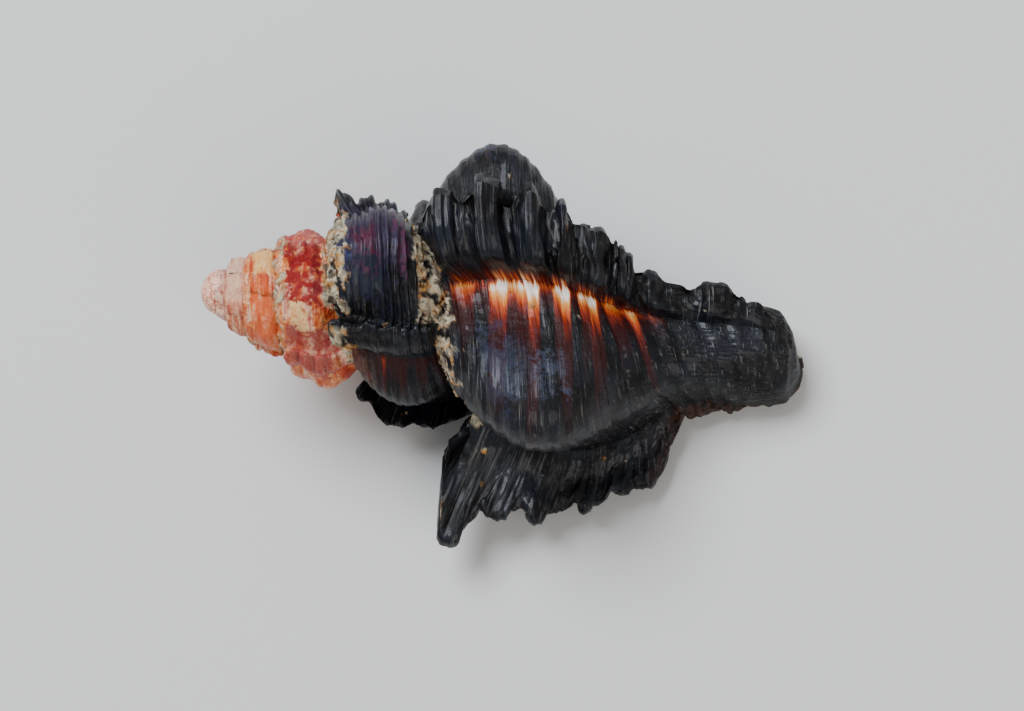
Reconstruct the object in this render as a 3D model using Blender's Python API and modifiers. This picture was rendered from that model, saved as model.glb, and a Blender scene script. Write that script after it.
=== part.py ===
"""Murex shell: a dextral spiral shell with three varices to a little less than each turn, aperture down.

The outside is one loft of cross-sections. Each section is the same growing profile, turned about the shell's
axis and scaled by its growth, and each varix is a fin of fronds that stands up from that loft. The aperture
is cut by a second loft, a smooth horn that follows the coil inwards. Metres, +Z up, apex towards -X.
"""

import math

import bmesh
import bpy
import numpy as np
from mathutils import Matrix

MM = 0.001

# Growth: how much the shell grows in one turn, and how far apart its varices stand.
# Angles are in degrees about the axis, 0 straight up, and rise with growth.
GROWTH_PER_TURN = 1.7
VARIX_STEP = 108.0
LIP_ANGLE = 117.0
STAGES = 20

# The profile at the lip, in millimetres from the apex along the axis and out from the axis.
PROFILE_ALONG = (33.2, 35.4, 38.0, 42.2, 47.9, 53.5, 58.0, 61.5, 65.2, 70.6, 74.4, 75.9, 75.6)
PROFILE_OUT = (5.0, 9.4, 11.8, 13.9, 15.0, 14.4, 11.8, 8.6, 7.2, 7.2, 6.2, 3.0, 0.6)
# Past this place the canal keeps its full length on every side, where the rest grows with the spiral.
CANAL_START = 57.0
CANAL_KEEP = 0.12
# The spire is stouter than the spiral alone would make it, by these girths at these angles.
GIRTH_ANGLES = (-1900.0, -1500.0, -1000.0, -700.0, -531.0, -423.0, -370.0, -320.0, -260.0, -200.0, 120.0)
GIRTHS = (3.6, 3.2, 2.3, 1.8, 1.58, 1.46, 1.4, 1.25, 1.08, 1.0, 1.0)
# The spire's whorls are also filled out at their shoulder, which makes the sutures shallow.
SHOULDER_FILL = 5.0
FILL_BELOW = (-250.0, -420.0)
FILL_ALONG = (43.0, 33.2)
# The first whorl of all is a blunt dome.
APEX_ALONG = 2.7
APEX_HALF_LENGTH = 2.6
APEX_HALF_WIDTH = 2.9
APEX_ROWS = 12
APEX_SIDES = 24

# The swelling between two varices, with values for each stage from the lip towards the apex.
# Its place and spread are shares of the step between two varices.
SWELL_HEIGHT = 10.0
SWELL_PLACE = (0.606, 0.43, 0.43, 0.45, 0.45, 0.5)
SWELL_SPREAD = (0.22, 0.24, 0.22, 0.22, 0.4, 0.28)
SWELL_ALONG = (46.0, 44.5, 46.0)
SWELL_HALF_LENGTH = (12.0, 13.5, 12.0)
SWELL_LEFT = (1.0, 1.4, 0.55, 0.45, 0.85, 0.7, 0.45, 0.4, 0.35, 0.3, 0.2, 0.1)

# A varix is a row of fronds from the shoulder to the canal, given at the lip's scale.
# Each frond is (place along the profile, reach from the axis, half width).
LIP_FRONDS = (
    (39.4, 28.4, 2.2),
    (43.8, 24.8, 2.5),
    (47.9, 24.6, 2.4),
    (52.2, 22.8, 2.5),
    (56.0, 20.0, 2.0),
    (58.4, 14.6, 1.6),
    (62.4, 9.6, 2.2),
    (66.6, 8.4, 2.2),
)
BACK_FRONDS = (
    (40.0, 26.4, 2.6),
    (45.2, 25.2, 2.9),
    (50.2, 24.6, 2.8),
    (54.4, 22.6, 2.3),
    (57.8, 19.0, 2.0),
    (60.8, 15.0, 1.8),
    (64.2, 12.4, 1.9),
    (67.8, 11.6, 1.9),
    (71.0, 9.4, 1.8),
)
# Past the outer fronds the fin fades out, and each frond's bulge ends between these shares of its half width.
WEB_WIDTH = 2.2
LOBE_EDGE = (0.25, 1.12)
# The fronds spread apart along the axis, the shoulder's ones back towards the apex.
FAN_AT_SHOULDER = -6.0
FAN_SLOPE = 0.28
FAN_FROM = 37.0
FAN_UNTIL = 60.0
# Each side of a fin flares up from its foot to its edge.
FLARE = 2.5
RISE_POWER = 1.2
LEAN_POWER = 1.7
# The fin heights over which leaning, fanning and bulging set in, and the share of the lift for the bulge.
LEAN_HEIGHTS = (0.0, 3.0)
FAN_HEIGHTS = (0.0, 6.0)
BULGE_HEIGHTS = (1.0, 5.0)
BULGE_LIFTS = (0.05, 0.6)

# For each varix, from the lip towards the apex; older ones take the last value. Angles are in degrees.
# How far it stands from its even step, how far it leans back, its height and its first frond's height.
SHIFT = (0.0, -19.0, 0.0)
LEAN = (10.0, 14.0, 14.0, 28.0, 8.0, 10.0, 8.0)
HEIGHT_LEFT = (1.0, 1.0, 1.0, 0.85, 0.42, 0.34, 0.24, 0.24, 0.2, 0.15)
SHOULDER_LEFT = (1.0, 0.75, 1.0, 0.6, 1.1, 1.2, 0.9)
SHOULDER_LEAST = 0.4
# How far the fin stands up between two fronds, as a share of their reach.
NOTCH = (0.955, 0.85, 0.9, 1.0, 0.97, 0.9)
# Half the edge's thickness, the share of the height from which it is rounded, and how far the fronds bulge.
EDGE_HALF = (3.4, 6.5, 4.0, 5.0, 8.0, 7.0, 10.0)
EDGE_FROM = (0.82, 0.62, 0.8, 0.8, 0.7)
BULGE = (0.8, 5.0, 2.5, 0.5, 1.5, 2.0)
# Where the face and the back of the fin start, from its middle.
FOOT_FACE = (12.0, 8.0, 12.0, 12.0, 10.0, 12.0)
FOOT_BACK = (17.0, 20.0, 17.0)

# The aperture's horn, at the lip's scale.
HORN_ALONG = 47.6
HORN_OUT = 9.6
HORN_HALF_LENGTH = 9.6
HORN_HALF_DEPTH = 4.7
HORN_TURN = 150.0
HORN_MOUTH = 34.0
HORN_END_TURN = 95.0
HORN_END_WIDTH = 0.12
HORN_EGG = 0.28
HORN_ROWS = 40
HORN_SIDES = 28

# The canal's open slot, just inside the lip's edge.
SLOT_FROM = 55.0
SLOT_TO = 78.0
SLOT_TURN = 15.0
SLOT_HALF_WIDTH = 0.7
SLOT_IN = 1.8
SLOT_OUT = 12.0

# How the shell lies: turned about its own axis and pitched, found from what it rests on.
ROLL = -5.93
PITCH = 13.1

# Fineness of the finished solid.
VOXEL = 0.45 * MM
TRIANGLES = 7200

# Fineness of the lofts: rows over one side of a fin, rows between two fins, and points along a row.
ROWS_PER_FACE = 12
ROWS_BETWEEN = 12
FACE_SHARE = 0.35
BACK_SHARE = 0.35
FINE_STAGES = 5
POINTS_ALONG = 200
# Each row is closed by points this far from the axis, on the side of its widest point.
POINTS_ON_AXIS = 12
CORE = 0.15 * MM


def growth(angle):
    return GROWTH_PER_TURN ** ((angle - LIP_ANGLE) / 360.0)


def smooth(value, low, high):
    """0 below low, 1 above high, and an even rise between."""
    share = np.clip((value - low) / (high - low), 0.0, 1.0)
    return share * share * (3.0 - 2.0 * share)


def profile(share):
    """The lip's profile as (along, out), for shares from 0 at the suture to 1 at the canal's end."""
    steps = np.hypot(np.diff(PROFILE_ALONG), np.diff(PROFILE_OUT))
    place = np.concatenate([[0.0], np.cumsum(steps)]) / steps.sum()
    index = np.clip(np.searchsorted(place, share, side="right") - 1, 0, len(place) - 2)
    width = place[index + 1] - place[index]
    t = (share - place[index]) / width
    result = []
    for values in (np.array(PROFILE_ALONG), np.array(PROFILE_OUT)):
        # Each point's slope is set by its neighbours, and the curve between two is a cubic.
        slope = np.gradient(values, place)
        rise = values[index + 1] - values[index]
        start = slope[index] * width
        end = slope[index + 1] * width
        curve = start * t + (3.0 * rise - 2.0 * start - end) * t**2 + (start + end - 2.0 * rise) * t**3
        result.append(values[index] + curve)
    return result


def of_varix(values, number):
    return values[min(max(number, 0), len(values) - 1)]


def varix_angle(number):
    return LIP_ANGLE - VARIX_STEP * number + of_varix(SHIFT, number)


def rounded_edge(lift, number):
    """How far a fin's side has turned in over its edge, from 0 on its flat to 1 at its very edge."""
    start = of_varix(EDGE_FROM, number)
    past = np.clip((lift - start) / (1.0 - start), 0.0, 1.0)
    return 1.0 - np.sqrt(1.0 - past**2)


def fin_height(along, out, number):
    """How far a varix's fin stands up at each place of the profile, and how near a frond's middle it is."""
    fronds = LIP_FRONDS if number <= 0 else BACK_FRONDS
    reach = np.zeros_like(along)
    web = np.zeros_like(along)
    lobe = np.zeros_like(along)
    for i, (place, tip, half) in enumerate(fronds):
        if i == 0:
            tip = tip * (SHOULDER_LEAST + (1.0 - SHOULDER_LEAST) * of_varix(SHOULDER_LEFT, number))
        off = (along - place) / half
        reach = np.maximum(reach, tip * np.sqrt(np.clip(1.0 - off**4, 0.0, 1.0)))
        web = np.maximum(web, tip * np.exp(-((off / WEB_WIDTH) ** 4)))
        lobe = np.maximum(lobe, 1.0 - smooth(np.abs(off), *LOBE_EDGE))
    web = web * smooth(along, fronds[0][0] - fronds[0][2], fronds[0][0])
    reach = np.maximum(reach, of_varix(NOTCH, number) * web)
    return np.maximum(reach - out, 0.0) * of_varix(HEIGHT_LEFT, number), lobe


def surface(stage, rows, share):
    """The outside, for one stage of growth, as angle, distance along the axis and distance out from it.

    Stage n runs from the fin edge of varix n + 1 to that of varix n, and rows goes from 0 to 1 along it.
    """
    newer = varix_angle(stage)
    older = varix_angle(stage + 1)
    rows = rows[:, None]
    along, out = profile(share[None, :])
    # The first part goes down the older fin's face, and the last one up the newer fin's back.
    down = 1.0 - np.clip(rows / FACE_SHARE, 0.0, 1.0)
    up = np.clip((rows - 1.0 + BACK_SHARE) / BACK_SHARE, 0.0, 1.0)
    between = np.clip((rows - FACE_SHARE) / (1.0 - FACE_SHARE - BACK_SHARE), 0.0, 1.0)
    half_older = of_varix(EDGE_HALF, stage + 1)
    half_newer = of_varix(EDGE_HALF, stage)
    foot_older = of_varix(FOOT_FACE, stage + 1)
    foot_newer = of_varix(FOOT_BACK, stage)
    angle = older + foot_older + (newer - foot_newer - older - foot_older) * between
    angle = angle - (foot_older - half_older) * (1.0 - (1.0 - down) ** FLARE)
    angle = angle + (foot_newer - half_newer) * (1.0 - (1.0 - up) ** FLARE)
    # Near its edge the fin's two sides close on each other.
    angle = angle - half_older * rounded_edge(down, stage + 1)
    angle = angle + half_newer * rounded_edge(up, stage)
    scale = growth(angle)
    off = ((angle - older) / VARIX_STEP - of_varix(SWELL_PLACE, stage)) / of_varix(SWELL_SPREAD, stage)
    off_along = (along - of_varix(SWELL_ALONG, stage)) / of_varix(SWELL_HALF_LENGTH, stage)
    body = out + SWELL_HEIGHT * of_varix(SWELL_LEFT, stage) * np.exp(-(off**2) - off_along**2)
    body = body + SHOULDER_FILL * smooth(angle, *FILL_BELOW) * smooth(along, *FILL_ALONG)
    rise = np.zeros_like(body)
    lean = np.zeros_like(body)
    fan = np.zeros_like(body)
    for lift, number, side in ((down, stage + 1, 1.0), (up, stage, -1.0)):
        height, lobe = fin_height(along, out, number)
        rise = rise + lift**RISE_POWER * height
        # Where the fin is low it neither leans nor fans, or it would fold the surface.
        lean = lean + lift**LEAN_POWER * smooth(height, *LEAN_HEIGHTS) * of_varix(LEAN, number)
        fan = fan + lift * smooth(height, *FAN_HEIGHTS) * (along < FAN_UNTIL)
        # Each frond bulges on both of its sides, up to where the edge is rounded.
        bulge = lobe * smooth(lift, *BULGE_LIFTS) * smooth(height, *BULGE_HEIGHTS)
        lean = lean - side * of_varix(BULGE, number) * bulge * (1.0 - rounded_edge(lift, number))
    stout = np.interp(angle, GIRTH_ANGLES, GIRTHS)
    fan = fan * (FAN_AT_SHOULDER + FAN_SLOPE * (along - FAN_FROM))
    canal = smooth(along, CANAL_START, PROFILE_ALONG[-1])
    tip = PROFILE_ALONG[-1] * (scale**CANAL_KEEP - scale)
    return angle - lean, scale * (along + fan) + tip * canal, scale * stout * (body + rise)


def to_points(angle, along, out):
    """Places in the shell's own frame: its axis is X, and angle 0 is straight up."""
    angle, along, out = np.broadcast_arrays(np.radians(angle), along, out)
    return np.stack([along, -out * np.sin(angle), out * np.cos(angle)], axis=-1) * MM


def outside_rows():
    share = np.linspace(0.0, 1.0, POINTS_ALONG)
    rows = []
    for stage in range(STAGES - 1, -1, -1):
        count = ROWS_PER_FACE * 2 + ROWS_BETWEEN
        if stage >= FINE_STAGES:
            count = count // 2
        steps = np.linspace(0.0, 1.0, count, endpoint=False)
        rows.append(to_points(*surface(stage, steps, share)))
    # The lip's own face, from its fin edge down to the mouth.
    steps = np.linspace(0.0, FACE_SHARE, ROWS_PER_FACE)
    rows.append(to_points(*surface(-1, steps, share)))
    return np.concatenate(rows)


def closed_loft(name, rows):
    """A closed mesh through the rows, each of which is a loop of points."""
    count, around = rows.shape[:2]
    mesh = bmesh.new()
    verts = [[mesh.verts.new(point) for point in row] for row in rows]
    for i in range(count - 1):
        for j in range(around):
            k = (j + 1) % around
            mesh.faces.new((verts[i][j], verts[i][k], verts[i + 1][k], verts[i + 1][j]))
    mesh.faces.new(reversed(verts[0]))
    mesh.faces.new(verts[-1])
    bmesh.ops.triangulate(mesh, faces=mesh.faces)
    bmesh.ops.recalc_face_normals(mesh, faces=mesh.faces)
    data = bpy.data.meshes.new(name)
    mesh.to_mesh(data)
    mesh.free()
    return bpy.data.objects.new(name, data)


def outside_loft():
    """The outside, with each row closed along the axis so that the loft is solid."""
    rows = outside_rows()
    steps = np.linspace(1.0, 0.0, POINTS_ON_AXIS)[None, :]
    first = rows[:, :1, 0]
    last = rows[:, -1:, 0]
    along = first + (last - first) * steps
    direction = rows[:, POINTS_ALONG // 3 : POINTS_ALONG // 3 + 1] * np.array([0.0, 1.0, 1.0])
    direction = direction / np.linalg.norm(direction, axis=-1, keepdims=True)
    back = direction * CORE + along[..., None] * np.array([1.0, 0.0, 0.0])
    return closed_loft("shell", np.concatenate([rows, back], axis=1))


def apex_loft():
    """The dome at the apex, which the remesh joins to the rest."""
    around = np.linspace(0.0, 360.0, APEX_SIDES, endpoint=False)
    rows = []
    for step in range(1, APEX_ROWS):
        turn = math.pi * step / APEX_ROWS
        along = APEX_ALONG - APEX_HALF_LENGTH * math.cos(turn)
        rows.append(to_points(around, along, APEX_HALF_WIDTH * math.sin(turn)))
    return closed_loft("apex", np.array(rows))


def put_into(target, extra):
    """Adds the extra object's faces to the target's."""
    mesh = bmesh.new()
    mesh.from_mesh(target.data)
    mesh.from_mesh(extra.data)
    mesh.to_mesh(target.data)
    mesh.free()
    bpy.data.objects.remove(extra)


def horn_loft():
    """What is cut for the aperture: it runs on past the lip, and back into the coil to a rounded end."""
    angles = np.linspace(LIP_ANGLE - HORN_TURN, LIP_ANGLE + HORN_MOUTH, HORN_ROWS)
    around = np.linspace(0.0, 2.0 * math.pi, HORN_SIDES, endpoint=False)
    rows = []
    for angle in angles:
        scale = growth(min(angle, LIP_ANGLE))
        inward = min((angle - angles[0]) / HORN_END_TURN, 1.0)
        wide = max(math.sqrt(1.0 - (1.0 - inward) ** 2), HORN_END_WIDTH)
        # The mouth is an egg, narrow towards the canal.
        narrow = 1.0 - HORN_EGG * np.cos(around)
        along = HORN_ALONG + HORN_HALF_LENGTH * np.cos(around) * wide
        out = HORN_OUT + HORN_HALF_DEPTH * np.sin(around) * wide * narrow
        rows.append(to_points(angle, scale * along, scale * out))
    return closed_loft("horn", np.array(rows))


def slot_loft():
    """What is cut for the canal: a thin slot along the axis, open on the aperture's side."""
    turn = math.radians(LIP_ANGLE + SLOT_TURN)
    outward = np.array([0.0, -math.sin(turn), math.cos(turn)])
    sideways = np.array([0.0, math.cos(turn), math.sin(turn)])
    rows = []
    for along in (SLOT_FROM, SLOT_TO):
        middle = np.array([along, 0.0, 0.0])
        corners = []
        for out, side in ((SLOT_IN, -1.0), (SLOT_OUT, -1.0), (SLOT_OUT, 1.0), (SLOT_IN, 1.0)):
            corners.append(middle + out * outward + side * SLOT_HALF_WIDTH * sideways)
        rows.append(corners)
    return closed_loft("slot", np.array(rows) * MM)


def apply_modifiers(target):
    bpy.context.view_layer.update()
    graph = bpy.context.evaluated_depsgraph_get()
    mesh = bpy.data.meshes.new_from_object(target.evaluated_get(graph))
    target.modifiers.clear()
    target.data = mesh


def lie_down(target):
    """Turns the shell the way it lies, and puts the middle of its box over the origin."""
    turn = Matrix.Rotation(math.radians(PITCH), 4, "Y") @ Matrix.Rotation(math.radians(ROLL), 4, "X")
    target.data.transform(turn)
    points = np.array([vertex.co for vertex in target.data.vertices])
    low = points.min(axis=0)
    middle = (low + points.max(axis=0)) / 2.0
    shift = Matrix.Translation((-middle[0], -middle[1], -low[2]))
    target.data.transform(shift)
    return shift @ turn


def add_material(target):
    material = bpy.data.materials.new("dark_shell")
    material.use_nodes = True
    shader = material.node_tree.nodes["Principled BSDF"]
    shader.inputs["Base Color"].default_value = (0.018, 0.014, 0.018, 1.0)
    shader.inputs["Roughness"].default_value = 0.28
    shader.inputs["Metallic"].default_value = 0.0
    target.data.materials.append(material)


def main():
    for old in list(bpy.data.objects):
        bpy.data.objects.remove(old)
    parts = bpy.data.collections.new("murex_shell")
    cutters = bpy.data.collections.new("cutters")
    bpy.context.scene.collection.children.link(parts)
    bpy.context.scene.collection.children.link(cutters)
    cutters.hide_render = True

    shell = outside_loft()
    put_into(shell, apex_loft())
    parts.objects.link(shell)
    openings = [horn_loft(), slot_loft()]
    for opening in openings:
        cutters.objects.link(opening)
        opening.hide_render = True
        opening.display_type = "WIRE"

    remesh = shell.modifiers.new("even_skin", "REMESH")
    remesh.mode = "VOXEL"
    remesh.voxel_size = VOXEL
    apply_modifiers(shell)
    thin = shell.modifiers.new("fewer_faces", "DECIMATE")
    thin.ratio = TRIANGLES / (2.0 * len(shell.data.polygons))
    apply_modifiers(shell)
    for opening in openings:
        cut = shell.modifiers.new(opening.name, "BOOLEAN")
        cut.object = opening
        cut.operation = "DIFFERENCE"
    apply_modifiers(shell)

    place = lie_down(shell)
    shell.data.shade_smooth()
    add_material(shell)
    return place


main()
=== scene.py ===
import math

import bpy
import numpy as np
from mathutils import Matrix, Vector


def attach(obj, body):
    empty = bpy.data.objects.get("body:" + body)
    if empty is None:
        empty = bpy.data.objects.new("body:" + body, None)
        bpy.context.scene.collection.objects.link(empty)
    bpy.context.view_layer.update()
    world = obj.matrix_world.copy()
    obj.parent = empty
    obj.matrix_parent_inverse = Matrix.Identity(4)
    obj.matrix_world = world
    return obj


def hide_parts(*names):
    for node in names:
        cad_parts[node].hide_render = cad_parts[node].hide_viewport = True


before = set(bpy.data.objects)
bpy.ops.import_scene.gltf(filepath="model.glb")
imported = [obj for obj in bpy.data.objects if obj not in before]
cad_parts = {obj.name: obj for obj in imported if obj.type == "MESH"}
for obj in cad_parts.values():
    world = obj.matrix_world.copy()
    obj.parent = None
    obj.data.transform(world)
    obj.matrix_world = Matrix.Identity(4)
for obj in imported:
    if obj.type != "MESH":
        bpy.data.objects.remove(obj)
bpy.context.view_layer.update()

mm = 0.001
print("frame loaded")


# Wires: a socket that can be used in plain arithmetic, in shader and geometry trees alike.

class Wire:
    def __init__(self, tree, socket=None):
        self.tree = tree
        self.socket = socket

    def add(self, kind, settings=None, sockets=None, out=0):
        # settings go in first, because some of them change the node's sockets
        node = self.tree.nodes.new(kind)
        for key, value in (settings or {}).items():
            if key == "stops":
                ramp = node.color_ramp
                for i, (place, colour) in enumerate(value):
                    stop = ramp.elements[i] if i < 2 else ramp.elements.new(place)
                    stop.position = place
                    stop.color = (*colour, 1.0)
            elif key == "points":
                curve = node.mapping.curves[0]
                curve.points[0].location = value[0]
                curve.points[1].location = value[-1]
                for x, y in value[1:-1]:
                    curve.points.new(x, y)
                for point in curve.points:
                    point.handle_type = "VECTOR"
                node.mapping.update()
            else:
                setattr(node, key, value)
        for key, value in (sockets or {}).items():
            self.put(node.inputs[key], value)
        result = Wire(self.tree, node.outputs[out] if node.outputs else None)
        result.node = node
        return result

    def put(self, target, value):
        if isinstance(value, (list, tuple)) and value and isinstance(value[0], Wire):
            for one in value:
                self.tree.links.new(one.socket, target)
        elif isinstance(value, Wire):
            self.tree.links.new(value.socket, target)
        else:
            target.default_value = value

    def out(self, name):
        return Wire(self.tree, self.node.outputs[name])

    def math(self, operation, a, b=None, clamp=False):
        sockets = {0: a} if b is None else {0: a, 1: b}
        return self.add("ShaderNodeMath", {"operation": operation, "use_clamp": clamp}, sockets)

    def __add__(self, other):
        return self.math("ADD", self, other)

    def __radd__(self, other):
        return self.math("ADD", other, self)

    def __sub__(self, other):
        return self.math("SUBTRACT", self, other)

    def __rsub__(self, other):
        return self.math("SUBTRACT", other, self)

    def __mul__(self, other):
        return self.math("MULTIPLY", self, other)

    def __rmul__(self, other):
        return self.math("MULTIPLY", other, self)

    def __truediv__(self, other):
        return self.math("DIVIDE", self, other)

    def __rtruediv__(self, other):
        return self.math("DIVIDE", other, self)

    def __pow__(self, other):
        return self.math("POWER", self, other)

    def __rpow__(self, other):
        return self.math("POWER", other, self)

    def __neg__(self):
        return self.math("MULTIPLY", self, -1.0)

    def __gt__(self, other):
        return self.math("GREATER_THAN", self, other)

    def __lt__(self, other):
        return self.math("LESS_THAN", self, other)


def sqrt(a):
    return a.math("SQRT", a)


def exp(a):
    return a.math("EXPONENT", a)


def sine(a):
    return a.math("SINE", a)


def cosine(a):
    return a.math("COSINE", a)


def larger(a, b):
    return a.math("MAXIMUM", a, b)


def smaller(a, b):
    return a.math("MINIMUM", a, b)


def magnitude(a):
    return a.math("ABSOLUTE", a)


def clip(a):
    return a.math("ADD", a, 0.0, clamp=True)


def smooth(a, low, high):
    # 0 at low, 1 at high, either way round
    return a.add("ShaderNodeMapRange", {"interpolation_type": "SMOOTHSTEP"},
                 {"Value": a, "From Min": low, "From Max": high, "To Min": 0.0, "To Max": 1.0})


def within(a, low, high, soft):
    # 1 between low and high, fading over soft on both sides
    return smooth(a, low - soft, low + soft) * smooth(a, high + soft, high - soft)


def vector(net, x, y, z):
    return net.add("ShaderNodeCombineXYZ", None, {"X": x, "Y": y, "Z": z})


def vectorMath(net, operation, a, b=None, scale=None, out=0):
    sockets = {0: a}
    if b is not None:
        sockets[1] = b
    if scale is not None:
        sockets["Scale"] = scale
    return net.add("ShaderNodeVectorMath", {"operation": operation}, sockets, out)


def parts(net, value):
    split = net.add("ShaderNodeSeparateXYZ", None, {0: value})
    return split, split.out("Y"), split.out("Z")


def noise(net, place, scale, detail=2.0, rough=0.5):
    return net.add("ShaderNodeTexNoise", None,
                   {"Vector": place, "Scale": scale, "Detail": detail, "Roughness": rough})


def stored(net, shape, name, kind, value, domain="POINT", chosen=True):
    return net.add("GeometryNodeStoreNamedAttribute", {"data_type": kind, "domain": domain},
                   {"Geometry": shape, "Selection": chosen, "Name": name, "Value": value})


def kept(net, name, kind):
    return net.add("GeometryNodeInputNamedAttribute", {"data_type": kind}, {"Name": name})


def blurred(net, value, kind, times):
    return net.add("GeometryNodeBlurAttribute", {"data_type": kind}, {"Value": value, "Iterations": times})


def newTree(name, inputs, outputs=(("Geometry", "Geometry"),)):
    tree = bpy.data.node_groups.new(name, "GeometryNodeTree")
    for label, kind, value in inputs:
        socket = tree.interface.new_socket(label, in_out="INPUT", socket_type="NodeSocket" + kind)
        if value is not None:
            socket.default_value = value
    for label, kind in outputs:
        tree.interface.new_socket(label, in_out="OUTPUT", socket_type="NodeSocket" + kind)
    net = Wire(tree)
    given = net.add("NodeGroupInput")
    return tree, net, {label: given.out(label) for label, kind, value in inputs}


def finishTree(net, results):
    net.add("NodeGroupOutput", None, results)


# The spiral. Angles are in degrees about the shell's axis, 0 straight up, and rise with growth.

spiral = {
    "growthPerTurn": 1.7,
    "varixStep": 108.0,
    "lipAngle": 117.0,
    "profile": ((33.2, 5.0), (35.4, 9.4), (38.0, 11.8), (42.2, 13.9), (47.9, 15.0), (53.5, 14.4),
                (58.0, 11.8), (61.5, 8.6), (65.2, 7.2), (70.6, 7.2), (74.4, 6.2), (75.9, 3.0), (75.6, 0.6)),
    "canalStart": 57.0,
    "canalKeep": 0.12,
    "girthAngles": (-1900, -1500, -1000, -700, -531, -423, -370, -320, -260, -200, 120),
    "girths": (3.6, 3.2, 2.3, 1.8, 1.58, 1.46, 1.4, 1.25, 1.08, 1.0, 1.0),
    "apexAlong": 2.7,
    "apexHalfLength": 2.6,
    "apexHalfWidth": 2.9,
    "apexSides": 40,
    "apexRings": 24,
    "shoulderFill": 5.0,
    "fillBelow": (-250.0, -420.0),
    "fillAlong": (43.0, 33.2),
    "coneBelow": (-560.0, -760.0),
    "coneShare": 0.6,
    "coneOut": 11.4,
    "coneSlope": 0.16,
    "coneEnd": (60.0, 57.0),
    "alongRange": 80.0,
    "outRange": 16.0,
}

# Each frond: place along the profile, reach from the axis, half width.
fronds = {
    "lip": ((39.4, 28.4, 2.2), (43.8, 24.8, 2.5), (47.9, 24.6, 2.4), (52.2, 22.8, 2.5),
            (56.0, 20.0, 2.0), (58.4, 14.6, 1.6), (62.4, 9.6, 2.2), (66.6, 8.4, 2.2)),
    "back": ((40.0, 26.4, 2.6), (45.2, 25.2, 2.9), (50.2, 24.6, 2.8), (54.4, 22.6, 2.3),
             (57.8, 19.0, 2.0), (60.8, 15.0, 1.8), (64.2, 12.4, 1.9), (67.8, 11.6, 1.9),
             (71.0, 9.4, 1.8)),
    "webWidth": 2.2,
    "shoulderLeast": 0.4,
    "fanAtShoulder": -6.0,
    "fanSlope": 0.28,
    "fanFrom": 37.0,
    "fanUntil": 60.0,
    "flare": 2.5,
    "risePower": 1.2,
    "leanPower": 1.7,
    "lobeEdge": (0.25, 1.12),
    "leanHeights": (0.0, 3.0),
    "fanHeights": (0.0, 6.0),
    "bulgeHeights": (1.0, 5.0),
    "bulgeLifts": (0.1, 0.75),
}

# For each varix, from the lip towards the apex; older ones take the last value.
varices = {
    "shift": (0, -19, 0),
    "lean": (10, 14, 14, 28, 8, 10, 8),
    "height": (1, 1, 1, 0.85, 0.42, 0.34, 0.24, 0.24, 0.2, 0.15),
    "shoulder": (1, 0.75, 1, 0.6, 1.1, 1.2, 0.9),
    "notch": (0.955, 0.93, 0.93, 1, 0.97, 0.9),
    "edge": (3.4, 6.5, 4, 5, 8, 7, 10),
    "edgeFrom": (0.7, 0.5, 0.7, 0.8, 0.6),
    "bulge": (0.8, 7.5, 3, 0.5, 1.5, 2),
    "footFace": (12, 8, 12, 12, 10, 12),
    "footBack": (17, 20, 17),
    "swell": (1, 1.4, 0.55, 0.45, 0.85, 0.7, 0.45, 0.4, 0.35, 0.3, 0.2, 0.1),
    "swellPlace": (0.606, 0.43, 0.43, 0.45, 0.45, 0.5),
    "swellSpread": (0.22, 0.24, 0.22, 0.22, 0.4, 0.28),
    "swellAlong": (46, 44.5, 46),
    "swellHalfLength": (12, 13.5, 12),
    "swellHeight": 10.0,
    "grooves": (0.25, 1.0, 0.6, 0.6, 0.5, 0.3),
}

# Fine relief, in millimetres at the lip's scale.
relief = {
    "cordPitch": 0.62,
    "canalCordPitch": 1.15,
    "cordHeight": 0.05,
    "growthLines": 0.08,
    "grooveDepth": 1.3,
    "lumps": 1.7,
    "wrinkles": 0.8,
    "frondBend": 5.0,
    "frondRound": 2.4,
    "frill": 0.7,
    "curl": 0.22,
    "foldPitch": 2.0,
    "foldHeight": 0.55,
    "foldedWhorl": (-440.0, -322.0, 12.0),
    "foldsFrom": (-560.0, -480.0),
    "nodules": 4.0,
    "nodulesFrom": (-440.0, -620.0),
}

# Zones: from angle, to angle, soft by, from along, to along, soft by, how much.
crust = {
    "height": 1.3,
    "sunk": 0.38,
    "seam": (0.02, 0.2),
    "seamFrom": (-900.0, -620.0),
    "seamMuch": 0.55,
    "patchScale": 520.0,
    "grainScale": 900.0,
    "ragged": 2.2,
    "edge": (0.42, 0.58),
    "seamSteps": 60,
    "rimSteps": 60,
    "rimMuch": 12.0,
    "zones": (
        (-430.0, -330.0, 10.0, 30.0, 38.4, 1.8, 0.6),
        (-430.0, -325.0, 10.0, 53.8, 62.0, 1.8, 0.6),
        (-745.0, -690.0, 10.0, 53.0, 60.0, 1.5, 0.6),
        (-1000.0, -640.0, 30.0, 30.0, 39.0, 2.0, 0.42),
        (-15.0, 92.0, 12.0, 30.0, 37.0, 1.2, 0.46),
        (92.0, 108.0, 5.0, 34.0, 39.5, 1.8, 0.5),
        (102.0, 110.0, 4.0, 52.8, 54.6, 1.0, 0.5),
        (-320.0, -305.0, 4.0, 38.0, 42.0, 1.0, 0.5),
    ),
}

mesh = {
    "finShare": 0.5,
    "core": 0.15,
    "leastPoints": 5000.0,
    "rowStep": 0.004,
    "shareStep": 0.0012,
}


def ofVarix(name, number):
    values = varices[name]
    return float(values[min(max(number, 0), len(values) - 1)])


def varixAngle(number):
    return spiral["lipAngle"] - spiral["varixStep"] * number + ofVarix("shift", number)


def middleOfStage(stage):
    older = varixAngle(stage + 1) + ofVarix("footFace", stage + 1)
    newer = varixAngle(stage) - ofVarix("footBack", stage)
    return (older + newer) / 2.0


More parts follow.
